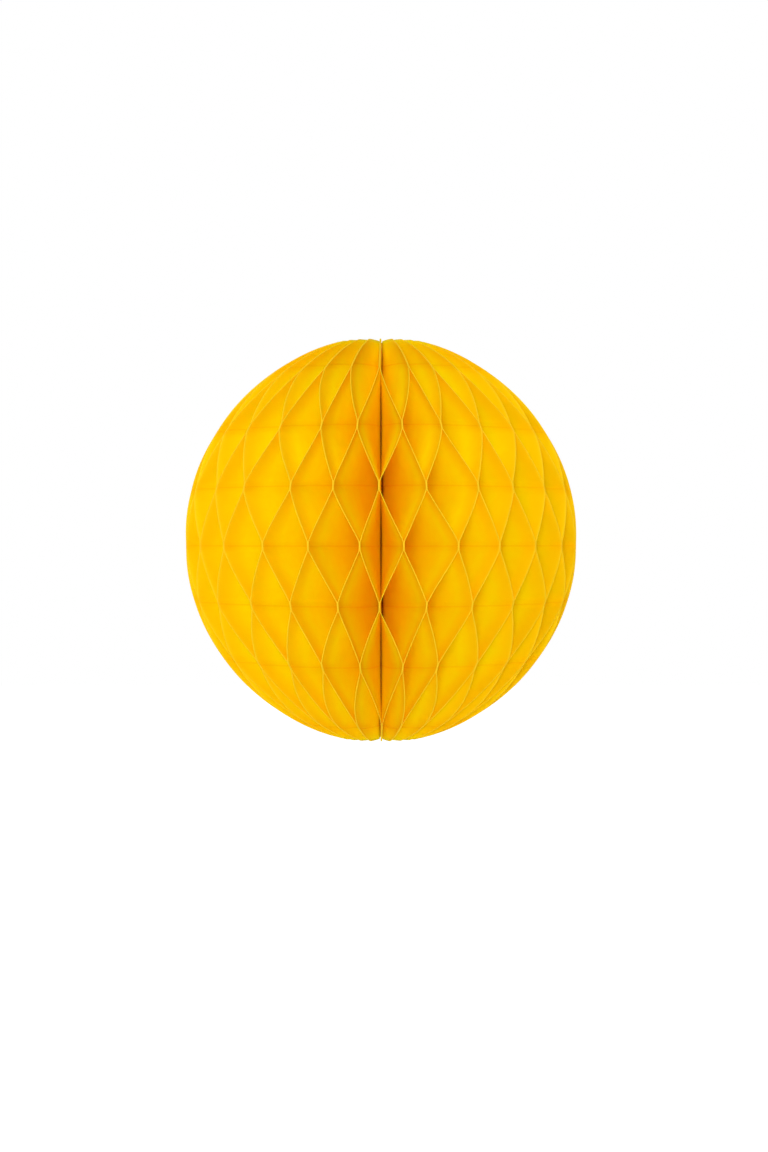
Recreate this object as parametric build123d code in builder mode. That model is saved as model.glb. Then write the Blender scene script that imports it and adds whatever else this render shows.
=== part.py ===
from build123d import *

import os
from math import cos, radians, sin, tan

# A paper honeycomb ball that opens like a fan and folds back to a flat half disc.
# Half-disc leaves of tissue stand round an upright spine on the Z axis. Each leaf is glued
# to its two neighbours along level glue lines, by turns to one and to the other, so that the
# open ball is a ring of lozenge cells. Two card covers close the ring at the back, in +Y.
# The origin is the ball's centre, +Z is up along the spine, and -Y is the front.

# The ball's outline, which all leaves and covers share: they are cut to size as one stack.
ball_height = 200.0  # pole to pole
ball_width = 195.0  # across the equator
tip_cut = 1.5  # what the level cut at each pole takes off the ellipse that the outline follows
tip_rounding = 7.0  # radius where the curved cut meets the level one

# The tissue leaves
leaf_count = 50  # an even number, or the last leaf misses its cover's glue lines
tissue = 0.05  # thickness of the tissue
glue_line_count = 7
glue_pitch = 30.0  # height from one glue line to the next
glue_width = 4.2  # height of one line of glue
middle_line_height = -3.0  # the middle glue line, seen from the ball's centre
trim = 2.0  # what is cut off a folded sheet outside its outline

# The spine thread, and the loop that the ball hangs from
thread_radius = 1.2
thread_clearance = 0.3  # between the thread and the leaves' straight edges
knot_radius = 2.0
loop_cord = 0.8  # diameter of the loop's cord
loop_opening = 3.0  # diameter inside the loop
loop_neck = 1.0  # height of the loop's neck over the thread's top knot
loop_depth = 0.5  # how far the loop's top lies below the ball's top
tip_clearance = 0.5  # between the leaves' notched tips and the loop or knot in them

# The card covers and the adhesive pads that hold them together
card = 0.35  # thickness of a cover
pad_thickness = 0.2
pad_radius = 4.0
pad_count = 4
pad_arc_radius = 84.0  # the pads' distance from the ball's centre
pad_arc_spread = 120.0  # angle from the lowest pad to the highest, in degrees
folded_angle = 7.2  # angle that is left between the covers when the ball is folded
cover_clearance = 0.5  # more than the covers need at the fold, at their straight edges

# Sizes that follow
ellipse_height = ball_height + 2 * tip_cut
leaf_angle = 360 / leaf_count
half_angle = radians(leaf_angle / 2)
stack = pad_thickness / 2 + card  # from the seam's middle to a cover's outer face
cover_start = 2 * stack / radians(folded_angle) + cover_clearance
leaf_start = thread_radius + thread_clearance
end_leaf_start = (stack / cos(half_angle) + 2 * tissue) / (2 * tan(half_angle))
notch_radius = max(knot_radius, loop_opening / 2 + loop_cord) + tip_clearance
loop_radius = (loop_opening + loop_cord) / 2
loop_height = ball_height / 2 - loop_depth - loop_radius - loop_cord / 2
knot_height = loop_height - loop_radius - loop_cord / 2 - loop_neck - knot_radius
notch_depth = ball_height / 2 - knot_height + knot_radius + tip_clearance
reach = ball_width / 2 + 2 * tissue + trim  # the folded sheet's outer edge, before it is cut


def draw_outline(start):
    """The half disc, from its straight edge at start to the curved cut."""
    with BuildSketch() as outline:
        Ellipse(ball_width / 2, ellipse_height / 2)
        Rectangle(2 * ball_width, ball_height, mode=Mode.INTERSECT)
        corners = outline.vertices().group_by(Axis.Y)
        fillet(corners[0] + corners[-1], radius=tip_rounding)
        with Locations((start, 0)):
            Rectangle(
                ball_width,
                ball_height,
                align=(Align.MIN, Align.CENTER),
                mode=Mode.INTERSECT,
            )
        with Locations((0, ball_height / 2), (0, -ball_height / 2)):
            Rectangle(2 * notch_radius, 2 * notch_depth, mode=Mode.SUBTRACT)
    return outline.sketch


def line_height(line):
    """Height of a glue line, counted down from the top one, which is 0."""
    return middle_line_height + ((glue_line_count - 1) / 2 - line) * glue_pitch


def crease(height, side, gap):
    """The two ends of a level crease at one edge of a glue line, at the axis and past the rim.

    side is +1 or -1, where the leaf meets its neighbour, and gap is what stands between the
    leaf and the seam's middle, 0 between two leaves.
    """
    back_off = gap / cos(half_angle) + tissue / 2
    return [(x, side * (x * tan(half_angle) - back_off), height) for x in (0, reach)]


def panel(*corners):
    """One flat stretch of tissue, without its thickness."""
    return Face(Wire.make_polygon(corners))


def fold_leaf(leaf, start, gaps):
    """A leaf about the XZ plane, creased to and fro between its glue lines.

    Glue lines are flat strips, and three flat triangles lead from each strip to the next.
    gaps is the gap to the neighbour on its -Y side and on its +Y side.
    """
    panels = []
    for line in range(glue_line_count):
        top = line_height(line) + glue_width / 2
        bottom = line_height(line) - glue_width / 2
        if line == 0:
            top = ball_height / 2 + trim
        if line == glue_line_count - 1:
            bottom = -ball_height / 2 - trim
        side = 1 if (leaf + line) % 2 else -1
        gap = gaps[1] if side > 0 else gaps[0]
        inner_top, outer_top = crease(top, side, gap)
        if line > 0:
            middle = (reach, 0, (outer_bottom[2] + top) / 2)
            panels.append(panel(inner_bottom, outer_bottom, middle))
            panels.append(panel(inner_bottom, middle, inner_top))
            panels.append(panel(inner_top, middle, outer_top))
        inner_bottom, outer_bottom = crease(bottom, side, gap)
        panels.append(panel(inner_top, outer_top, outer_bottom, inner_bottom))
    with BuildPart() as sheet:
        for flat in panels:
            extrude(flat, amount=tissue / 2, dir=(0, 1, 0), both=True)
        with BuildSketch(Plane.XZ):
            add(draw_outline(start))
        extrude(amount=ball_width / 4, both=True, mode=Mode.INTERSECT)
    return sheet.part


os.makedirs("parts", exist_ok=True)

# Leaves. Odd and even ones fold opposite ways, and the two at the seam lie on a cover.
inner_leaves = {
    1: fold_leaf(1, leaf_start, (0, 0)),
    0: fold_leaf(2, leaf_start, (0, 0)),
}
first_leaf = fold_leaf(1, end_leaf_start, (stack, 0))
last_leaf = fold_leaf(leaf_count, end_leaf_start, (0, stack))
for number in range(1, leaf_count + 1):
    if number == 1:
        folded = first_leaf
    elif number == leaf_count:
        folded = last_leaf
    else:
        folded = inner_leaves[number % 2]
    with BuildPart() as leaf:
        add(folded, rotation=(0, 0, 90 + (number - 0.5) * leaf_angle))
    leaf.part.label = f"leaf_{number:02d}"
    export_step(leaf.part, f"parts/leaf_{number:02d}.step")

# Covers, one on each side of the seam, with the pads' thickness between them
with BuildPart() as fixed_cover:
    with BuildSketch(Plane.YZ.offset(-stack)):
        add(draw_outline(cover_start))
    extrude(amount=card)
fixed_cover.part.label = "fixed_cover"
export_step(fixed_cover.part, "parts/fixed_cover.step")

with BuildPart() as swing_cover:
    with BuildSketch(Plane.YZ.offset(pad_thickness / 2)):
        add(draw_outline(cover_start))
    extrude(amount=card)
swing_cover.part.label = "swing_cover"
export_step(swing_cover.part, "parts/swing_cover.step")

# Adhesive pads between the covers, along the curved edge
with BuildPart() as closure_pads:
    with BuildSketch(Plane.YZ.offset(-pad_thickness / 2)):
        for pad in range(pad_count):
            angle = radians(pad_arc_spread * (pad / (pad_count - 1) - 0.5))
            with Locations((pad_arc_radius * cos(angle), pad_arc_radius * sin(angle))):
                Circle(pad_radius)
    extrude(amount=pad_thickness)
closure_pads.part.label = "closure_pads"
export_step(closure_pads.part, "parts/closure_pads.step")

# Spine thread, knotted at both ends
with BuildPart() as spine_thread:
    Cylinder(thread_radius, 2 * knot_height)
    with Locations((0, 0, knot_height), (0, 0, -knot_height)):
        Sphere(knot_radius)
spine_thread.part.label = "spine_thread"
export_step(spine_thread.part, "parts/spine_thread.step")

# Hanging loop, which grows out of the top knot
with BuildPart() as hanging_loop:
    with Locations((0, 0, loop_height)):
        Torus(loop_radius, loop_cord / 2, rotation=(90, 0, 0))
    with BuildSketch(Plane.XY.offset(knot_height)):
        Circle(loop_cord / 2)
    extrude(amount=loop_height - loop_radius - knot_height)
    with Locations((0, 0, knot_height)):
        Sphere(knot_radius, mode=Mode.SUBTRACT)
hanging_loop.part.label = "hanging_loop"
export_step(hanging_loop.part, "parts/hanging_loop.step")
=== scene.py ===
import math

import bmesh
import bpy
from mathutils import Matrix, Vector


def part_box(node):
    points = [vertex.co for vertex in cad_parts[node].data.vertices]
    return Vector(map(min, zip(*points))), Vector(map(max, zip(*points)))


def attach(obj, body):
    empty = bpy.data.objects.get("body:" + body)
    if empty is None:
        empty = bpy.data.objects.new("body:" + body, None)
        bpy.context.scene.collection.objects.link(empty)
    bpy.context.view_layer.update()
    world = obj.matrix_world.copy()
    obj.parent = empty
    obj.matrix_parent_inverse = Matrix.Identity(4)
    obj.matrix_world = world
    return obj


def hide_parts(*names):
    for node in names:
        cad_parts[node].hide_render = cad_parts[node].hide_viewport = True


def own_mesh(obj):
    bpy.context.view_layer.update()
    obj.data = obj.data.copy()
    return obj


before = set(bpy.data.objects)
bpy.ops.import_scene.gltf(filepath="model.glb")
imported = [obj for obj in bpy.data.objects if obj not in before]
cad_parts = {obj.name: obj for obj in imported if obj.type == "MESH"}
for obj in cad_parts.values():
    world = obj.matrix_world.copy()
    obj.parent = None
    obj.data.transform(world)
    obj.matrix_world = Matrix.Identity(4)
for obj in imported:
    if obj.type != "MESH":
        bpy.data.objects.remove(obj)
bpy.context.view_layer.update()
scene = bpy.context.scene

# ---------------------------------------------------------------------------
# Tissue leaves: fifty half-disc sheets of dyed tissue, cut in one stack, round an upright
# spine. Each is glued to its two neighbours along level lines, by turns to one and to the
# other, so that the sheets draw apart into lozenge cells when the ball is fanned open.
# ---------------------------------------------------------------------------

MM = 0.001
LEAF_COUNT = 50
SEAM_STACK = 0.45 * MM  # from the middle of the seam to a cover's outer face
END_LEAF_START = 4.6 * MM  # the straight edge of the two leaves that lie on the covers

LEAF_ROWS = 134  # of mesh points in a leaf, from pole to pole
LEAF_COLUMNS = 31  # of mesh points, from the spine to the rim

LEAF_SIZES = {
    "Half Width": 98.2 * MM,  # of the flat sheet, from the spine to the curved cut
    "Upper Height": 102.3 * MM,  # where the curve over the middle would meet the spine
    "Lower Height": 101.9 * MM,  # where the curve under the middle would meet it
    "Cut Height": 100.0 * MM,  # of the level cut at each pole
    "Roundness": 2.10,  # power of the curve, which is 2 for an ellipse
    "Rim Shrink": 0.085,  # share of its height by which an open sheet draws in at the rim
    "Shrink Power": 1.6,  # how that grows from the spine to the rim
    "Inner Edge": 1.6 * MM,  # from the spine's middle to the straight edge
    "Notch Radius": 2.9 * MM,
    "Notch Depth": 10.8 * MM,
    "Notch Slope": 1.5 * MM,  # height over which the straight edge steps back to the notch
    "Column Crowding": 1.8,  # more than 1 crowds the mesh's columns towards the rim
    "Glue Lines": 7,
    "Glue Pitch": 30.0 * MM,  # from one glue line to the next
    "Middle Line": -3.0 * MM,  # height of the middle glue line
    "Glue Width": 4.2 * MM,  # height of one glued strip
    "Fold Softness": 0.08,  # 0 is a straight fold from line to line, and 1 is a full wave
    "Wall": 0.20 * MM,  # thickness, more than real tissue has, or its edge wouldn't show
    "Rim Burr": 0.14 * MM,  # what the cut adds to the thickness at its edge
    "Burr Depth": 2.5 * MM,  # how far in from the cut the burr falls to a third
    "Spine Thinning": 0.04,  # greatest thickness, as a share of the distance from the spine
    "Glue Gap": 0.015 * MM,  # half the gap between two leaves where they are glued
    "Bunching": math.radians(2.2),  # greatest shift of a leaf towards the front or back
    "Unevenness": math.radians(1.2),  # greatest shift of one glued place
    "Buckle": 0.5 * MM,  # greatest swelling of slack tissue
    "Buckle Waves": 28.0,  # in a metre
    "Roll Step": 110.0 * MM,  # from one leaf to the next along the roll of tissue
    "Seed": 30589,
}


def linear(code):
    """An sRGB hex colour as linear RGBA."""
    parts = [int(code[at : at + 2], 16) / 255 for at in (1, 3, 5)]
    parts = [p / 12.92 if p <= 0.04045 else ((p + 0.055) / 1.055) ** 2.4 for p in parts]
    return (*parts, 1.0)


def add(tree, kind, inputs=(), **settings):
    """Adds a node. Its inputs are values, sRGB codes, sockets, or nodes for their first output."""
    node = tree.nodes.new(kind)
    for name, value in settings.items():
        setattr(node, name, value)
    if not isinstance(inputs, dict):
        inputs = dict(enumerate(inputs))
    for name, value in inputs.items():
        if isinstance(name, int):
            socket = node.inputs[name]
        else:
            socket = next(item for item in node.inputs if item.name == name and item.enabled)
        if isinstance(value, bpy.types.Node):
            value = next(output for output in value.outputs if output.enabled)
        if isinstance(value, bpy.types.NodeSocket):
            tree.links.new(value, socket)
        elif isinstance(value, str) and value.startswith("#"):
            socket.default_value = linear(value)
        else:
            socket.default_value = value
    return node


def new_tree(name, sizes, results):
    """A geometry tree or node group with a named input for each size and the named results."""
    tree = bpy.data.node_groups.new(name, "GeometryNodeTree")
    for label, kind in sizes.items():
        tree.interface.new_socket(label, in_out="INPUT", socket_type=kind)
    for label, kind in results.items():
        tree.interface.new_socket(label, in_out="OUTPUT", socket_type=kind)
    return tree, add(tree, "NodeGroupInput").outputs


MATH = "ShaderNodeMath"
VECTOR = "ShaderNodeVectorMath"
MIX = "ShaderNodeMix"


def glue_place_group():
    """Where a leaf is glued at one glue line: the angle from the seam, the side and any gap."""
    sizes = {
        "Leaf": "NodeSocketInt",
        "Line": "NodeSocketFloat",
        "Glue Lines": "NodeSocketInt",
        "Bunching": "NodeSocketFloat",
        "Unevenness": "NodeSocketFloat",
        "Seed": "NodeSocketInt",
        "Leaf Count": "NodeSocketInt",
        "Seam Stack": "NodeSocketFloat",
    }
    results = {
        "Angle": "NodeSocketFloat",
        "Side": "NodeSocketFloat",
        "Gap": "NodeSocketFloat",
    }
    tree, size = new_tree("glue_place", sizes, results)
    # Odd sums of leaf and line are glued to the next leaf, even ones to the leaf before
    total = add(tree, MATH, [size["Leaf"], size["Line"]], operation="ADD")
    odd = add(tree, MATH, [total, 2.0], operation="MODULO")
    side = add(tree, MATH, [odd, 2.0, -1.0], operation="MULTIPLY_ADD")
    column = add(tree, MATH, [size["Leaf"], odd], operation="ADD")
    column = add(tree, MATH, [column, 1.0], operation="SUBTRACT")
    even_angle = add(tree, MATH, [2 * math.pi, size["Leaf Count"]], operation="DIVIDE")
    angle = add(tree, MATH, [column, even_angle], operation="MULTIPLY")
    # The ball is a little bunched at its front and back
    wave = add(tree, MATH, [angle, 2.0], operation="MULTIPLY")
    wave = add(tree, MATH, [wave], operation="SINE")
    bunched = add(tree, MATH, [wave, size["Bunching"]], operation="MULTIPLY")
    angle = add(tree, MATH, [angle, bunched], operation="SUBTRACT")
    # No two places are glued quite evenly, apart from those on the stiff covers, where the
    # sine of half the angle from the seam is next to nothing
    next_to_nothing = 0.03
    place = add(tree, MATH, [column, size["Glue Lines"], size["Line"]], operation="MULTIPLY_ADD")
    uneven = add(
        tree,
        "FunctionNodeRandomValue",
        {"Min": -1.0, "Max": 1.0, "ID": place, "Seed": size["Seed"]},
        data_type="FLOAT",
    )
    uneven = add(tree, MATH, [uneven, size["Unevenness"]], operation="MULTIPLY")
    from_seam = add(tree, MATH, [angle, 0.5], operation="MULTIPLY")
    from_seam = add(tree, MATH, [from_seam], operation="SINE")
    free = add(tree, MATH, [from_seam, next_to_nothing], operation="GREATER_THAN")
    uneven = add(tree, MATH, [uneven, free], operation="MULTIPLY")
    angle = add(tree, MATH, [angle, uneven], operation="ADD")
    on_cover = add(tree, MATH, [1.0, free], operation="SUBTRACT")
    gap = add(tree, MATH, [on_cover, size["Seam Stack"]], operation="MULTIPLY")
    add(tree, "NodeGroupOutput", {"Angle": angle, "Side": side, "Gap": gap})
    return tree


def leaf_tree(glue_place):
    """The tree that makes one leaf: a sheet in rows and columns, folded, thickened and closed."""
    whole = {"Leaf", "Glue Lines", "Seed", "Leaf Count", "Rows", "Columns"}
    names = ["Leaf", "Leaf Count", "Seam Stack", "Rows", "Columns", *LEAF_SIZES]
    sizes = {name: "NodeSocketInt" if name in whole else "NodeSocketFloat" for name in names}
    sizes["Paper"] = "NodeSocketMaterial"
    tree, size = new_tree("tissue_leaf", sizes, {"Geometry": "NodeSocketGeometry"})

    grid = add(
        tree,
        "GeometryNodeMeshGrid",
        {"Size X": 1.0, "Size Y": 1.0, "Vertices X": size["Columns"], "Vertices Y": size["Rows"]},
    )
    place = add(tree, "ShaderNodeSeparateXYZ", [add(tree, "GeometryNodeInputPosition")]).outputs
    across = add(tree, MATH, [place["X"], 0.5], operation="ADD")
    foot = add(tree, MATH, [size["Cut Height"], -1.0], operation="MULTIPLY")
    flat_height = add(
        tree,
        "ShaderNodeMapRange",
        {
            "Value": place["Y"],
            "From Min": -0.5,
            "From Max": 0.5,
            "To Min": foot,
            "To Max": size["Cut Height"],
        },
    )

    # The curved cut, fuller than an ellipse because an opened sheet draws in at its rim
    above = add(tree, MATH, [flat_height, 0.0], operation="GREATER_THAN")
    reach = add(
        tree,
        "ShaderNodeMix",
        {"Factor": above, "A": size["Lower Height"], "B": size["Upper Height"]},
        data_type="FLOAT",
    )
    level = add(tree, MATH, [flat_height], operation="ABSOLUTE")
    share = add(tree, MATH, [level, reach], operation="DIVIDE")
    share = add(tree, MATH, [share, size["Roundness"]], operation="POWER")
    share = add(tree, MATH, [1.0, share], operation="SUBTRACT")
    root = add(tree, MATH, [1.0, size["Roundness"]], operation="DIVIDE")
    share = add(tree, MATH, [share, root], operation="POWER")
    outer = add(tree, MATH, [share, size["Half Width"]], operation="MULTIPLY")

    # The straight edge, with a notch at each tip for the loop and the knots
    notch_start = add(tree, MATH, [size["Cut Height"], size["Notch Depth"]], operation="SUBTRACT")
    notch_end = add(tree, MATH, [notch_start, size["Notch Slope"]], operation="ADD")
    inner = add(
        tree,
        "ShaderNodeMapRange",
        {
            "Value": level,
            "From Min": notch_start,
            "From Max": notch_end,
            "To Min": size["Inner Edge"],
            "To Max": size["Notch Radius"],
        },
    )
    inner = add(tree, MATH, [inner, size["Inner Edge"]], operation="MAXIMUM")

    # Columns crowd towards the rim, where the sheet shows
    spread = add(tree, MATH, [1.0, across], operation="SUBTRACT")
    spread = add(tree, MATH, [spread, size["Column Crowding"]], operation="POWER")
    spread = add(tree, MATH, [1.0, spread], operation="SUBTRACT")
    radius = add(
        tree, "ShaderNodeMix", {"Factor": spread, "A": inner, "B": outer}, data_type="FLOAT"
    )

    # Drawing the folds apart pulls the rim towards the ball's middle
    draw = add(tree, MATH, [radius, size["Half Width"]], operation="DIVIDE")
    draw = add(tree, MATH, [draw, size["Shrink Power"]], operation="POWER")
    draw = add(tree, MATH, [draw, size["Rim Shrink"]], operation="MULTIPLY")
    draw = add(tree, MATH, [1.0, draw], operation="SUBTRACT")
    height = add(tree, MATH, [flat_height, draw], operation="MULTIPLY")

    # Which two glue lines this height lies between, and how far it is from the upper one
    gaps = add(tree, MATH, [size["Glue Lines"], 1.0], operation="SUBTRACT")
    top_line = add(tree, MATH, [gaps, 0.5], operation="MULTIPLY")
    top_line = add(
        tree, MATH, [top_line, size["Glue Pitch"], size["Middle Line"]], operation="MULTIPLY_ADD"
    )
    down = add(tree, MATH, [top_line, flat_height], operation="SUBTRACT")
    down = add(tree, MATH, [down, size["Glue Pitch"]], operation="DIVIDE")
    down = add(tree, "ShaderNodeClamp", {"Value": down, "Min": 0.0, "Max": gaps})
    last_gap = add(tree, MATH, [gaps, 1.0], operation="SUBTRACT")
    line = add(tree, MATH, [down], operation="FLOOR")
    line = add(tree, MATH, [line, last_gap], operation="MINIMUM")
    next_line = add(tree, MATH, [line, 1.0], operation="ADD")
    part = add(tree, MATH, [down, line], operation="SUBTRACT")
    strip = add(tree, MATH, [size["Glue Width"], size["Glue Pitch"]], operation="DIVIDE")
    strip = add(tree, MATH, [strip, 0.5], operation="MULTIPLY")
    strip_end = add(tree, MATH, [1.0, strip], operation="SUBTRACT")
    straight = add(
        tree, "ShaderNodeMapRange", {"Value": part, "From Min": strip, "From Max": strip_end}
    )
    curved = add(
        tree,
        "ShaderNodeMapRange",
        {"Value": part, "From Min": strip, "From Max": strip_end},
        interpolation_type="SMOOTHSTEP",
    )
    turn = add(
        tree,
        "ShaderNodeMix",
        {"Factor": size["Fold Softness"], "A": straight, "B": curved},
        data_type="FLOAT",
    )

    # The angle and the offset from the glue's plane at the lines above and below
    shared = ("Leaf", "Leaf Count", "Seam Stack", "Glue Lines", "Bunching", "Unevenness", "Seed")
    upper = add(tree, "GeometryNodeGroup", node_tree=glue_place)
    lower = add(tree, "GeometryNodeGroup", node_tree=glue_place)
    for group, at in ((upper, line), (lower, next_line)):
        tree.links.new(at.outputs[0], group.inputs["Line"])
        for name in shared:
            tree.links.new(size[name], group.inputs[name])
    upper, lower = upper.outputs, lower.outputs
    angle = add(
        tree,
        "ShaderNodeMix",
        {"Factor": turn, "A": upper["Angle"], "B": lower["Angle"]},
        data_type="FLOAT",
    )

    # Thickness, which closes up near the spine and spreads to a burr at the cut edge
    to_rim = add(tree, MATH, [outer, radius], operation="SUBTRACT")
    to_cut = add(tree, MATH, [size["Cut Height"], level], operation="SUBTRACT")
    to_edge = add(tree, MATH, [to_rim, to_cut], operation="MINIMUM")
    burr = add(tree, MATH, [to_edge, size["Burr Depth"]], operation="DIVIDE")
    burr = add(tree, MATH, [burr, -1.0], operation="MULTIPLY")
    edge = add(tree, MATH, [burr], operation="EXPONENT")
    burr = add(tree, MATH, [edge, size["Rim Burr"], size["Wall"]], operation="MULTIPLY_ADD")
    most = add(tree, MATH, [radius, size["Spine Thinning"]], operation="MULTIPLY")
    wall = add(tree, MATH, [burr, most], operation="MINIMUM")
    half_wall = add(tree, MATH, [wall, 0.5, size["Glue Gap"]], operation="MULTIPLY_ADD")
    offsets = []
    for group in (upper, lower):
        clear = add(tree, MATH, [half_wall, group["Gap"]], operation="ADD")
        offsets.append(add(tree, MATH, [clear, group["Side"]], operation="MULTIPLY"))
    offset = add(
        tree,
        "ShaderNodeMix",
        {"Factor": turn, "A": offsets[0], "B": offsets[1]},
        data_type="FLOAT",
    )
    offset = add(tree, MATH, [offset, -1.0], operation="MULTIPLY")

    # Slack tissue buckles a little between its glue lines, most of all halfway, where the
    # factor on the noise is 8 times two halves
    spot = add(tree, "ShaderNodeCombineXYZ", [radius, flat_height, size["Leaf"]])
    slack = add(
        tree,
        "ShaderNodeTexNoise",
        {"Vector": spot, "Scale": size["Buckle Waves"], "Detail": 2.0, "Roughness": 0.5},
        noise_dimensions="3D",
    )
    slack = add(tree, MATH, [slack.outputs[0], 0.5], operation="SUBTRACT")
    slack = add(tree, MATH, [slack, size["Buckle"]], operation="MULTIPLY")
    free = add(tree, MATH, [1.0, turn], operation="SUBTRACT")
    free = add(tree, MATH, [free, turn], operation="MULTIPLY")
    free = add(tree, MATH, [free, 8.0], operation="MULTIPLY")
    slack = add(tree, MATH, [slack, free], operation="MULTIPLY")
    out = add(tree, MATH, [radius, size["Half Width"]], operation="DIVIDE")
    offset = add(tree, MATH, [slack, out, offset], operation="MULTIPLY_ADD")

    # Place on the ball: the seam lies along +Y, and the angle grows anticlockwise from above
    cosine = add(tree, MATH, [angle], operation="COSINE")
    sine = add(tree, MATH, [angle], operation="SINE")
    back = add(tree, MATH, [sine, -1.0], operation="MULTIPLY")
    outward = add(tree, "ShaderNodeCombineXYZ", [back, cosine, 0.0])
    along = add(tree, "ShaderNodeCombineXYZ", [cosine, sine, 0.0])
    out_part = add(tree, VECTOR, {0: outward, "Scale": radius}, operation="SCALE")
    minus_offset = add(tree, MATH, [offset, -1.0], operation="MULTIPLY")
    side_part = add(tree, VECTOR, {0: along, "Scale": minus_offset}, operation="SCALE")
    up_part = add(tree, "ShaderNodeCombineXYZ", [0.0, 0.0, height])
    middle = add(tree, VECTOR, [out_part, side_part], operation="ADD")
    middle = add(tree, VECTOR, [middle, up_part], operation="ADD")

    # What the paper's finish needs: its place on the roll of tissue, and how near the cut is
    on_roll = add(tree, MATH, [size["Leaf"], size["Roll Step"], radius], operation="MULTIPLY_ADD")
    flat = add(tree, "ShaderNodeCombineXYZ", [on_roll, flat_height, 0.0])

    kept = add(tree, "GeometryNodeCaptureAttribute", {"Geometry": grid})
    for kind, name in (("VECTOR", "Across"), ("VECTOR", "Flat"), ("FLOAT", "Cut")):
        kept.capture_items.new(kind, name)
    across_wall = add(tree, VECTOR, {0: along, "Scale": wall}, operation="SCALE")
    for name, node in (("Across", across_wall), ("Flat", flat), ("Cut", to_edge)):
        tree.links.new(node.outputs[0], kept.inputs[name])
    kept = kept.outputs

    # The two faces of the sheet, joined round its edges by a merge far finer than its wall
    half_across = add(tree, VECTOR, {0: across_wall, "Scale": -0.5}, operation="SCALE")
    back_place = add(tree, VECTOR, [middle, half_across], operation="ADD")
    sheet = add(
        tree, "GeometryNodeSetPosition", {"Geometry": kept["Geometry"], "Position": back_place}
    )
    back_face = add(tree, "GeometryNodeFlipFaces", {"Mesh": sheet})
    front = add(
        tree,
        "GeometryNodeExtrudeMesh",
        {"Mesh": sheet, "Offset Scale": 0.0, "Individual": False},
        mode="FACES",
    )
    front_face = add(
        tree,
        "GeometryNodeSetPosition",
        {
            "Geometry": front.outputs["Mesh"],
            "Selection": front.outputs["Top"],
            "Offset": kept["Across"],
        },
    )
    both = add(tree, "GeometryNodeJoinGeometry")
    tree.links.new(back_face.outputs[0], both.inputs[0])
    tree.links.new(front_face.outputs[0], both.inputs[0])
    closed = add(tree, "GeometryNodeMergeByDistance", {"Geometry": both, "Distance": 0.0005 * MM})
    faces = add(tree, MATH, [1.0, front.outputs["Side"]], operation="SUBTRACT")
    shaded = add(
        tree, "GeometryNodeSetShadeSmooth", {"Geometry": closed, "Shade Smooth": faces}
    )
    shaded = add(
        tree,
        "GeometryNodeStoreNamedAttribute",
        {"Geometry": shaded, "Name": "from_cut", "Value": kept["Cut"]},
        data_type="FLOAT",
        domain="POINT",
    )
    shaded = add(
        tree,
        "GeometryNodeStoreNamedAttribute",
        {"Geometry": shaded, "Name": "sheet", "Value": kept["Flat"]},
        data_type="FLOAT2",
        domain="CORNER",
    )
    real = add(tree, "GeometryNodeRealizeInstances", {"Geometry": shaded})
    done = add(tree, "GeometryNodeSetMaterial", {"Geometry": real, "Material": size["Paper"]})
    add(tree, "NodeGroupOutput", {"Geometry": done})
    return tree


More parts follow.
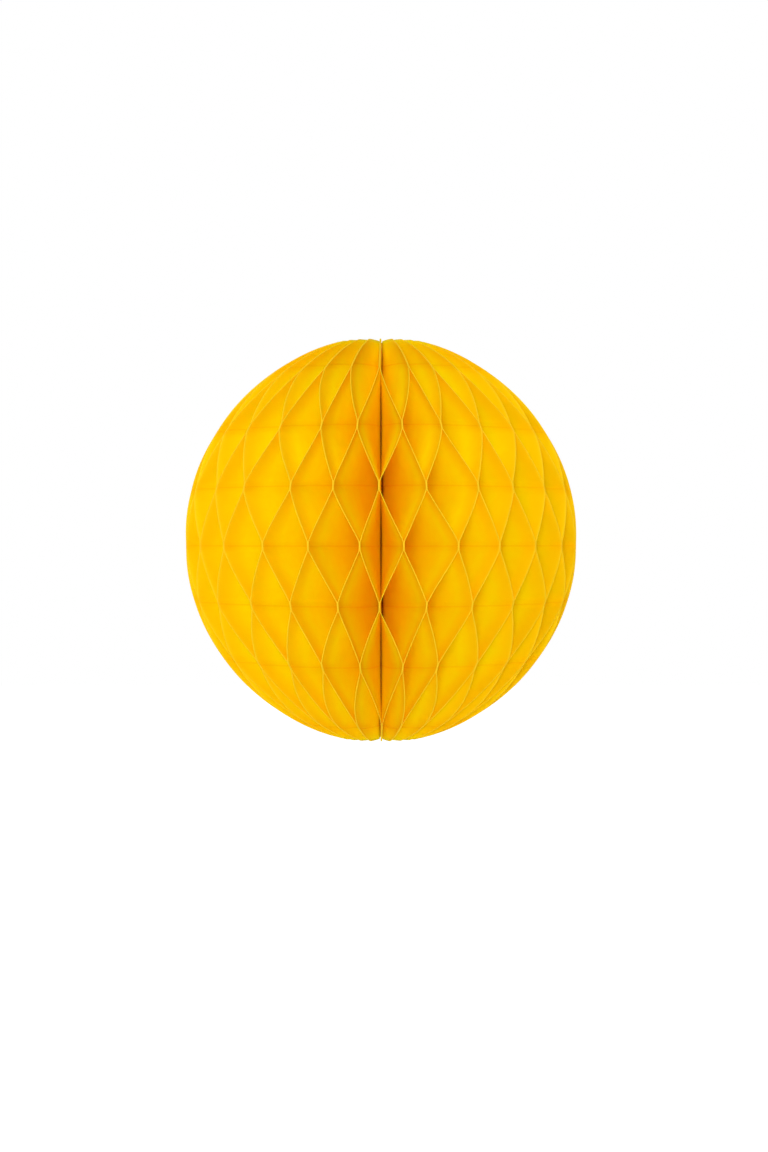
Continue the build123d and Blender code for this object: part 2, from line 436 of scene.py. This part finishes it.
def dyed_tissue():
    """Dyed tissue, machine made: soft and matt, it lets much of the light through."""
    paper = bpy.data.materials.new("dyed_tissue")
    paper.use_nodes = True
    tree = paper.node_tree
    tree.nodes.clear()
    sheet = add(tree, "ShaderNodeUVMap", uv_map="sheet")
    from_cut = add(tree, "ShaderNodeAttribute", attribute_name="from_cut").outputs["Fac"]

    # The level lines of glue, and the faint crease along the middle of each, drawn 1 mm wide
    # because a real crease is too fine to show
    height = add(tree, "ShaderNodeSeparateXYZ", [sheet]).outputs["Y"]
    height = add(tree, MATH, [height, LEAF_SIZES["Middle Line"]], operation="SUBTRACT")
    from_line = add(tree, MATH, [height, LEAF_SIZES["Glue Pitch"] / 2], operation="PINGPONG")
    half_strip = LEAF_SIZES["Glue Width"] / 2
    glued = add(tree, MATH, [from_line, half_strip], operation="LESS_THAN")
    crease = add(
        tree,
        "ShaderNodeMapRange",
        {"Value": from_line, "From Max": 0.5 * MM, "To Min": 1.0, "To Max": 0.0},
    )

    # Fibres gather in clouds about 6 mm wide, which show as slightly deeper and paler dye
    clouds = add(
        tree,
        "ShaderNodeTexNoise",
        {"Vector": sheet, "Scale": 1 / (6.0 * MM), "Detail": 3.0, "Roughness": 0.6},
    )
    cloudy = add(
        tree,
        "ShaderNodeMapRange",
        {"Value": clouds, "From Min": 0.35, "From Max": 0.65, "To Max": 0.14},
    )

    # Real tissue passes light on for dozens of sheets. Deep in the cells the colour is painted
    # paler,
    # and palest near the spine: painted light that lifts the shade there. The last two sheets at
    # each end keep the true dye, because they show when the ball is shut
    on_roll = add(tree, "ShaderNodeSeparateXYZ", [sheet]).outputs["X"]
    painted_light_deep = add(
        tree,
        "ShaderNodeMapRange",
        {"Value": from_cut, "From Min": 1.0 * MM, "From Max": 16.0 * MM},
        interpolation_type="SMOOTHSTEP",
    )
    radius = add(tree, MATH, [on_roll, LEAF_SIZES["Roll Step"]], operation="MODULO")
    painted_light_spine = add(
        tree,
        "ShaderNodeMapRange",
        {"Value": radius, "From Min": 45.0 * MM, "From Max": 10.0 * MM},
        interpolation_type="SMOOTHSTEP",
    )
    leaf = add(tree, MATH, [on_roll, LEAF_SIZES["Roll Step"]], operation="DIVIDE")
    leaf = add(tree, MATH, [leaf], operation="FLOOR")
    from_middle = add(tree, MATH, [leaf, (LEAF_COUNT + 1) / 2], operation="SUBTRACT")
    from_middle = add(tree, MATH, [from_middle], operation="ABSOLUTE")
    inner_leaf = add(tree, MATH, [from_middle, LEAF_COUNT / 2 - 2], operation="LESS_THAN")
    painted_light_deep = add(tree, MATH, [painted_light_deep, inner_leaf], operation="MULTIPLY")
    painted_light_spine = add(tree, MATH, [painted_light_spine, inner_leaf], operation="MULTIPLY")
    color = add(tree, MIX, {"Factor": painted_light_deep, "A": "#FEDA00", "B": "#FEF700"}, data_type="RGBA")
    color = add(tree, MIX, {"Factor": painted_light_spine, "A": color, "B": "#FFFD00"}, data_type="RGBA")
    color = add(tree, MIX, {"Factor": cloudy, "A": color, "B": "#FEC800"}, data_type="RGBA")
    # A darker line is painted along each crease as its shade, and the colour is a little deeper
    # where
    # two sheets are glued: partly the glue's own stain, partly painted shade for the light two
    # sheets hold back
    crease_shade = add(tree, MATH, [crease, 0.25], operation="MULTIPLY")
    color = add(tree, MIX, {"Factor": crease_shade, "A": color, "B": "#F2A800"}, data_type="RGBA")
    glue_stain_and_shade = add(tree, MATH, [glued, 0.03], operation="MULTIPLY")
    color = add(tree, MIX, {"Factor": glue_stain_and_shade, "A": color, "B": "#FEBC00"}, data_type="RGBA")
    # Along the cut a paler colour is painted in: a painted highlight for the light that the rim
    # and its loose fibre ends catch
    rim_highlight = add(tree, MATH, [from_cut, -1 / (0.6 * MM)], operation="MULTIPLY")
    rim_highlight = add(tree, MATH, [rim_highlight], operation="EXPONENT")
    rim_highlight = add(tree, MATH, [rim_highlight, 0.8], operation="MULTIPLY")
    color = add(tree, MIX, {"Factor": rim_highlight, "A": color, "B": "#FEE434"}, data_type="RGBA")
    # The light let through is painted paler in the same way: painted light deep in the cells and
    # near the spine
    tint = add(tree, MIX, {"Factor": painted_light_deep, "A": "#FEF600", "B": "#FEFE00"}, data_type="RGBA")
    tint = add(tree, MIX, {"Factor": painted_light_spine, "A": tint, "B": "#FFFF00"}, data_type="RGBA")

    # A fine grain, drawn at 0.8 mm because real fibres are too thin to show
    grain = add(
        tree, "ShaderNodeTexNoise", {"Vector": sheet, "Scale": 1 / (0.8 * MM), "Detail": 2.0}
    )
    relief = add(tree, MATH, [clouds, 2.0, grain], operation="MULTIPLY_ADD")
    relief = add(tree, MATH, [crease, -1.5, relief], operation="MULTIPLY_ADD")
    bump = add(tree, "ShaderNodeBump", {"Strength": 0.25, "Distance": 0.15 * MM, "Height": relief})

    lit = add(
        tree,
        "ShaderNodeBsdfPrincipled",
        {"Base Color": color, "Roughness": 0.95, "Specular IOR Level": 0.05, "Normal": bump},
    )
    through = add(tree, "ShaderNodeBsdfTranslucent", {"Color": tint, "Normal": bump})
    mixed = add(tree, "ShaderNodeMixShader", {0: 0.35, 1: lit, 2: through})
    add(tree, "ShaderNodeOutputMaterial", {"Surface": mixed})
    return paper


def make_leaf(number, tree, paper):
    """One tissue leaf as a plain mesh that turns with its own body."""
    holder = bpy.data.objects.new("leaf_maker", bpy.data.meshes.new("leaf_maker"))
    scene.collection.objects.link(holder)
    maker = holder.modifiers.new("maker", "NODES")
    maker.node_group = tree
    values = dict(LEAF_SIZES)
    values.update({"Leaf": number, "Leaf Count": LEAF_COUNT, "Seam Stack": SEAM_STACK})
    values.update({"Rows": LEAF_ROWS, "Columns": LEAF_COLUMNS, "Paper": paper})
    if number in (1, LEAF_COUNT):
        values["Inner Edge"] = END_LEAF_START
    for item in tree.interface.items_tree:
        if item.in_out == "INPUT":
            maker[item.identifier] = values[item.name]
    done = holder.evaluated_get(bpy.context.evaluated_depsgraph_get())
    mesh = bpy.data.meshes.new_from_object(done)
    bpy.data.objects.remove(holder)
    leaf = bpy.data.objects.new(f"tissue_leaf_{number:02d}", mesh)
    scene.collection.objects.link(leaf)
    body = f"leaf_{number:02d}"
    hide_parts(body)
    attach(leaf, body)
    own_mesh(leaf)


paper = dyed_tissue()
maker_tree = leaf_tree(glue_place_group())
for number in range(1, LEAF_COUNT + 1):
    make_leaf(number, maker_tree, paper)

# ---------------------------------------------------------------------------
# Covers: two half discs of yellow card, cut to the leaves' outline, one outside each end
# leaf. They lie back to back in the seam when the ball is open, and keep it flat and clean
# when it is folded.
# ---------------------------------------------------------------------------


def yellow_card():
    """Coated greyboard dyed yellow: a smooth matt face, a little mottled, and a raw cut edge."""
    card = bpy.data.materials.new("yellow_card")
    card.use_nodes = True
    tree = card.node_tree
    tree.nodes.clear()
    place = add(tree, "ShaderNodeTexCoord").outputs

    # Pulp lies unevenly under the coating, in patches about 9 mm wide
    pulp = add(
        tree,
        "ShaderNodeTexNoise",
        {"Vector": place["Object"], "Scale": 1 / (9.0 * MM), "Detail": 4.0, "Roughness": 0.6},
    )
    patchy = add(tree, "ShaderNodeMapRange", {"Value": pulp, "From Min": 0.35, "From Max": 0.65})
    color = add(tree, MIX, {"Factor": patchy, "A": "#F2C01A", "B": "#E8B10C"}, data_type="RGBA")
    # A cut edge shows the undyed pulp between the two faces
    facing = add(tree, "ShaderNodeSeparateXYZ", [place["Normal"]]).outputs["X"]
    facing = add(tree, MATH, [facing], operation="ABSOLUTE")
    cut = add(tree, MATH, [facing, 0.7], operation="LESS_THAN")
    color = add(tree, MIX, {"Factor": cut, "A": color, "B": "#EBC85A"}, data_type="RGBA")

    # Short fibres lift the surface, drawn at 0.6 mm because real ones are too fine to show
    fibres = add(
        tree,
        "ShaderNodeTexNoise",
        {"Vector": place["Object"], "Scale": 1 / (0.6 * MM), "Detail": 3.0, "Roughness": 0.7},
    )
    relief = add(tree, MATH, [pulp, 3.0, fibres], operation="MULTIPLY_ADD")
    bump = add(tree, "ShaderNodeBump", {"Strength": 0.3, "Distance": 0.1 * MM, "Height": relief})
    matt = add(
        tree,
        "ShaderNodeMapRange",
        {"Value": fibres, "From Min": 0.3, "From Max": 0.7, "To Min": 0.62, "To Max": 0.8},
    )
    face = add(
        tree,
        "ShaderNodeBsdfPrincipled",
        {"Base Color": color, "Roughness": matt, "Specular IOR Level": 0.2, "Normal": bump},
    )
    add(tree, "ShaderNodeOutputMaterial", {"Surface": face})
    return card


card = yellow_card()
for name in ("fixed_cover", "swing_cover"):
    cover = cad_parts[name].data.materials
    cover.clear()
    cover.append(card)

# ---------------------------------------------------------------------------
# Closure pads: four double-sided discs, die-cut from acrylic foam tape, along the covers'
# curved edge. They hold the covers together in the seam, and stay on the swinging cover
# when the seam is opened.
# ---------------------------------------------------------------------------


def acrylic_foam():
    """Acrylic foam tape: milky white with a tacky low gloss, and a pebbled face from its liner."""
    foam = bpy.data.materials.new("acrylic_foam")
    foam.use_nodes = True
    tree = foam.node_tree
    tree.nodes.clear()
    place = add(tree, "ShaderNodeTexCoord").outputs["Object"]
    # The liner leaves pebbles about 0.9 mm wide
    pebbles = add(tree, "ShaderNodeTexVoronoi", {"Vector": place, "Scale": 1 / (0.9 * MM)})
    hollow = add(tree, "ShaderNodeMapRange", {"Value": pebbles, "From Max": 0.7})
    color = add(tree, MIX, {"Factor": hollow, "A": "#F7F3E4", "B": "#E9E1C8"}, data_type="RGBA")
    rough = add(tree, "ShaderNodeMapRange", {"Value": hollow, "To Min": 0.28, "To Max": 0.5})
    bump = add(tree, "ShaderNodeBump", {"Strength": 0.4, "Distance": 0.05 * MM, "Height": pebbles})
    tacky = add(
        tree,
        "ShaderNodeBsdfPrincipled",
        {"Base Color": color, "Roughness": rough, "IOR": 1.47, "Normal": bump},
    )
    add(tree, "ShaderNodeOutputMaterial", {"Surface": tacky})
    return foam


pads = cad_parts["closure_pads"].data.materials
pads.clear()
pads.append(acrylic_foam())

# ---------------------------------------------------------------------------
# Spine thread: a three-strand golden cotton thread down the middle of the ball. The leaves
# are bound to it along their straight edges, and a knot at each end keeps it in place.
# ---------------------------------------------------------------------------

THREAD_SIZES = {"Strands": 3, "Strand Radius": 0.55 * MM, "Twist Radius": 0.63 * MM}
THREAD_PITCH = 5.0 * MM  # length of one full turn of the strands
KNOT_SIZES = {"Strands": 3, "Strand Radius": 0.36 * MM, "Twist Radius": 0.40 * MM}
KNOT_PITCH = 3.0 * MM
KNOT_RADIUS = 2.0 * MM
KNOT_PATH_RADIUS = KNOT_RADIUS - 0.75 * MM  # of the path that the thread's middle follows
KNOT_RISE = 1.6  # how far that path rises and dips, in thirds of its radius
KNOT_STEPS = 72
KNOT_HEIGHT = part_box("spine_thread")[1][2] - KNOT_RADIUS  # of a knot's middle, up or down
STEPS_PER_TURN = 14
STRAND_SIDES = 8


def twisted_tree():
    """The tree that lays twisted strands along a path."""
    sizes = {
        "Path": "NodeSocketGeometry",
        "Strands": "NodeSocketInt",
        "Strand Radius": "NodeSocketFloat",
        "Twist Radius": "NodeSocketFloat",
        "Turns": "NodeSocketFloat",
        "Steps": "NodeSocketInt",
        "Cotton": "NodeSocketMaterial",
    }
    tree, size = new_tree("twisted_cord", sizes, {"Geometry": "NodeSocketGeometry"})
    path = add(
        tree, "GeometryNodeResampleCurve", {"Curve": size["Path"], "Count": size["Steps"]}
    )
    strands = add(
        tree,
        "GeometryNodeDuplicateElements",
        {"Geometry": path, "Amount": size["Strands"]},
        domain="SPLINE",
    ).outputs
    along = add(tree, "GeometryNodeSplineParameter").outputs["Factor"]
    turned = add(tree, MATH, [along, size["Turns"]], operation="MULTIPLY")
    start = add(tree, MATH, [strands["Duplicate Index"], size["Strands"]], operation="DIVIDE")
    turned = add(tree, MATH, [turned, start], operation="ADD")
    angle = add(tree, MATH, [turned, 2 * math.pi], operation="MULTIPLY")
    normal = add(tree, "GeometryNodeInputNormal")
    tangent = add(tree, "GeometryNodeInputTangent")
    offset = add(tree, VECTOR, {0: normal, "Scale": size["Twist Radius"]}, operation="SCALE")
    offset = add(
        tree,
        "ShaderNodeVectorRotate",
        {"Vector": offset, "Axis": tangent, "Angle": angle},
        rotation_type="AXIS_ANGLE",
    )
    laid = add(
        tree, "GeometryNodeSetPosition", {"Geometry": strands["Geometry"], "Offset": offset}
    )
    ring = add(
        tree,
        "GeometryNodeCurvePrimitiveCircle",
        {"Resolution": STRAND_SIDES, "Radius": size["Strand Radius"]},
    )
    tube = add(
        tree, "GeometryNodeCurveToMesh", {"Curve": laid, "Profile Curve": ring, "Fill Caps": True}
    )
    smooth = add(tree, "GeometryNodeSetShadeSmooth", {"Geometry": tube})
    real = add(tree, "GeometryNodeRealizeInstances", {"Geometry": smooth})
    done = add(tree, "GeometryNodeSetMaterial", {"Geometry": real, "Material": size["Cotton"]})
    add(tree, "NodeGroupOutput", {"Geometry": done})
    return tree


def golden_cotton():
    """Mercerised cotton thread dyed gold: a low sheen along its fibres, with a little fluff."""
    cotton = bpy.data.materials.new("golden_cotton")
    cotton.use_nodes = True
    tree = cotton.node_tree
    tree.nodes.clear()
    place = add(tree, "ShaderNodeTexCoord").outputs["Object"]
    # Fibres run along the strands: fine across, and ten times longer upwards
    stretched = add(tree, "ShaderNodeMapping", {"Vector": place, "Scale": (1.0, 1.0, 0.1)})
    fibres = add(
        tree, "ShaderNodeTexNoise", {"Vector": stretched, "Scale": 1 / (0.15 * MM), "Detail": 3.0}
    )
    color = add(tree, MIX, {"Factor": fibres, "A": "#F0A41C", "B": "#FAC034"}, data_type="RGBA")
    bump = add(tree, "ShaderNodeBump", {"Strength": 0.5, "Distance": 0.04 * MM, "Height": fibres})
    strand = add(
        tree,
        "ShaderNodeBsdfPrincipled",
        {
            "Base Color": color,
            "Roughness": 0.75,
            "Specular IOR Level": 0.15,
            "Sheen Weight": 0.1,
            "Sheen Roughness": 0.5,
            "Normal": bump,
        },
    )
    add(tree, "ShaderNodeOutputMaterial", {"Surface": strand})
    return cotton


def twisted_cord(routes, tree, sizes, pitch, cotton):
    """A mesh of twisted strands along each route. A route is its points, and if it is closed."""
    parts = []
    for points, closed in routes:
        path = bpy.data.curves.new("route", "CURVE")
        path.dimensions = "3D"
        spline = path.splines.new("POLY")
        spline.points.add(len(points) - 1)
        for point, place in zip(spline.points, points):
            point.co = (*place, 1.0)
        spline.use_cyclic_u = closed
        length = sum((Vector(b) - Vector(a)).length for a, b in zip(points, points[1:]))
        turns = max(1, round(length / pitch))
        holder = bpy.data.objects.new("route", path)
        scene.collection.objects.link(holder)
        maker = holder.modifiers.new("maker", "NODES")
        maker.node_group = tree
        values = {**sizes, "Turns": float(turns), "Cotton": cotton}
        values["Steps"] = turns * STEPS_PER_TURN + 1
        for item in tree.interface.items_tree:
            if item.in_out == "INPUT" and item.name in values:
                maker[item.identifier] = values[item.name]
        done = holder.evaluated_get(bpy.context.evaluated_depsgraph_get())
        parts.append(bpy.data.meshes.new_from_object(done))
        bpy.data.objects.remove(holder)
    return parts


def joined(name, parts):
    """One object of several meshes that share a material."""
    whole = bmesh.new()
    for part in parts:
        whole.from_mesh(part)
    mesh = parts[0]
    whole.to_mesh(mesh)
    whole.free()
    piece = bpy.data.objects.new(name, mesh)
    scene.collection.objects.link(piece)
    return piece


def knot_route(height):
    """An overhand knot drawn tight: the trefoil curve, closed on itself."""
    third = KNOT_PATH_RADIUS / 3
    points = []
    for step in range(KNOT_STEPS):
        turn = step / KNOT_STEPS * 2 * math.pi
        x = (math.sin(turn) + 2 * math.sin(2 * turn)) * third
        y = (math.cos(turn) - 2 * math.cos(2 * turn)) * third
        z = -math.sin(3 * turn) * third * KNOT_RISE
        points.append((x, y, height + z))
    return points, True


cotton = golden_cotton()
cord_tree = twisted_tree()
spine_routes = [([(0, 0, -KNOT_HEIGHT), (0, 0, KNOT_HEIGHT)], False)]
thread_parts = twisted_cord(spine_routes, cord_tree, THREAD_SIZES, THREAD_PITCH, cotton)
knot_routes = [knot_route(side * KNOT_HEIGHT) for side in (-1, 1)]
thread_parts += twisted_cord(knot_routes, cord_tree, KNOT_SIZES, KNOT_PITCH, cotton)
thread = joined("twisted_spine_thread", thread_parts)
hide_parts("spine_thread")
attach(thread, "spine")

# ---------------------------------------------------------------------------
# Hanging loop: a small loop of the same cotton, tied in at the top knot. It stands in the
# notch of the leaves' tips, and a hanging thread or hook goes through it.
# ---------------------------------------------------------------------------

LOOP_SIZES = {"Strands": 2, "Strand Radius": 0.2 * MM, "Twist Radius": 0.2 * MM}
LOOP_PITCH = 1.6 * MM
LOOP_RADIUS = 1.9 * MM  # of the ring that the cord's middle follows
LOOP_CORD_RADIUS = 0.4 * MM
LOOP_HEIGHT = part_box("hanging_loop")[1][2] - LOOP_RADIUS - LOOP_CORD_RADIUS
LOOP_STEPS = 32
NECK_ANGLE = math.radians(14)  # from straight down to where each end leaves the ring
NECK_STAGGER = 0.5 * MM  # between the two ends, which pass side by side
LOOP_END_X = 0.35 * MM  # where each end goes into the knot
LOOP_END_Y = 0.2 * MM

loop_route = [(-LOOP_END_X, -LOOP_END_Y, KNOT_HEIGHT)]
for step in range(LOOP_STEPS + 1):
    turn = NECK_ANGLE + (2 * math.pi - 2 * NECK_ANGLE) * step / LOOP_STEPS
    x = -LOOP_RADIUS * math.sin(turn)
    y = (step / LOOP_STEPS - 0.5) * NECK_STAGGER
    loop_route.append((x, y, LOOP_HEIGHT - LOOP_RADIUS * math.cos(turn)))
loop_route.append((LOOP_END_X, LOOP_END_Y, KNOT_HEIGHT))
loop_parts = twisted_cord([(loop_route, False)], cord_tree, LOOP_SIZES, LOOP_PITCH, cotton)
loop = joined("cord_loop", loop_parts)
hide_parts("hanging_loop")
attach(loop, "spine")

# ---------------------------------------------------------------------------
# Stage: a white room for the hanging ball. A painted floor lies well below it and keeps its
# shadow, the walls are the world, and soft square lamps stand round the ball.
# ---------------------------------------------------------------------------

FLOOR_DROP = 0.55  # from the ball's middle
FLOOR_REACH = 6.0
LAMP_DISTANCE = 1.5
CAMERA_DISTANCE = 0.93


def sees_white(tree):
    """1 for a ray from the camera, a mirror or clear glass, and 0 for soft or scattered light."""
    path = add(tree, "ShaderNodeLightPath").outputs
    glossy, through = path["Is Glossy Ray"], path["Is Transmission Ray"]
    clear = add(tree, MATH, [glossy, through], operation="MAXIMUM")
    clear = add(tree, MATH, [clear, path["Is Diffuse Ray"]], operation="SUBTRACT")
    return add(tree, MATH, [path["Is Camera Ray"], clear], operation="MAXIMUM")


floor_mesh = bpy.data.meshes.new("floor")
corners = [(-1, -1), (1, -1), (1, 1), (-1, 1)]
corners = [(x * FLOOR_REACH, y * FLOOR_REACH, -FLOOR_DROP) for x, y in corners]
floor_mesh.from_pydata(corners, [], [(0, 1, 2, 3)])
floor = bpy.data.objects.new("floor", floor_mesh)
scene.collection.objects.link(floor)
floor_paint = bpy.data.materials.new("white_floor_paint")
floor_paint.use_nodes = True
tree = floor_paint.node_tree
tree.nodes.clear()
# What the camera sees of the paint is lifted to white, and the shadow on it stays
matt = add(tree, "ShaderNodeBsdfDiffuse", {"Color": "#E8E8E8"})
glow = add(tree, "ShaderNodeEmission", {"Color": "#FFFFFF", "Strength": 0.9})
lifted = add(tree, "ShaderNodeAddShader", [matt, glow])
shown = add(tree, "ShaderNodeMixShader", {0: sees_white(tree), 1: matt, 2: lifted})
add(tree, "ShaderNodeOutputMaterial", {"Surface": shown})
floor_mesh.materials.append(floor_paint)

world = bpy.data.worlds.new("white_room")
world.use_nodes = True
tree = world.node_tree
tree.nodes.clear()
room = add(tree, "ShaderNodeBackground", {"Color": "#FFFFFF", "Strength": 0.35})
white = add(tree, "ShaderNodeBackground", {"Color": "#FFFFFF", "Strength": 1.0})
shown = add(tree, "ShaderNodeMixShader", {0: sees_white(tree), 1: room, 2: white})
add(tree, "ShaderNodeOutputWorld", {"Surface": shown})
scene.world = world


def soft_lamp(name, azimuth, elevation, size, power):
    """A square soft lamp that looks at the ball. Azimuth 0 is the front, and 90 is the right."""
    lamp = bpy.data.lights.new(name, "AREA")
    lamp.shape = "SQUARE"
    lamp.size = size
    lamp.energy = power
    holder = bpy.data.objects.new(name, lamp)
    turn, rise = math.radians(azimuth), math.radians(elevation)
    away = Vector(
        (math.sin(turn) * math.cos(rise), -math.cos(turn) * math.cos(rise), math.sin(rise))
    )
    holder.location = away * LAMP_DISTANCE
    holder.rotation_euler = away.to_track_quat("Z", "Y").to_euler()
    scene.collection.objects.link(holder)


soft_lamp("front_lamp", -2.5, 3, 0.25, 9.6)
soft_lamp("left_lamp", -30, 35, 0.8, 3.0)
soft_lamp("back_left_lamp", -145, 10, 0.8, 12.0)
soft_lamp("back_right_lamp", 150, 10, 0.8, 11.0)
soft_lamp("low_lamp", 0, -18, 0.5, 1.3)
soft_lamp("top_lamp", 0, 75, 1.0, 6.0)

# The deep cells are lit by light that has been through dozens of sheets
scene.cycles.max_bounces = 128
scene.cycles.diffuse_bounces = 128
scene.cycles.transmission_bounces = 128

# A long lens straight in front, which keeps the ball a little above the frame's middle
camera_data = bpy.data.cameras.new("camera")
camera_data.lens = 57.6
camera_data.sensor_width = 36.0
camera_data.shift_x = 0.0026
camera_data.shift_y = -0.0312
camera = bpy.data.objects.new("camera", camera_data)
camera.location = (0, -CAMERA_DISTANCE, 0)
camera.rotation_euler = (math.radians(90), 0, 0)
scene.collection.objects.link(camera)
scene.camera = camera

scene.view_settings.view_transform = "Standard"
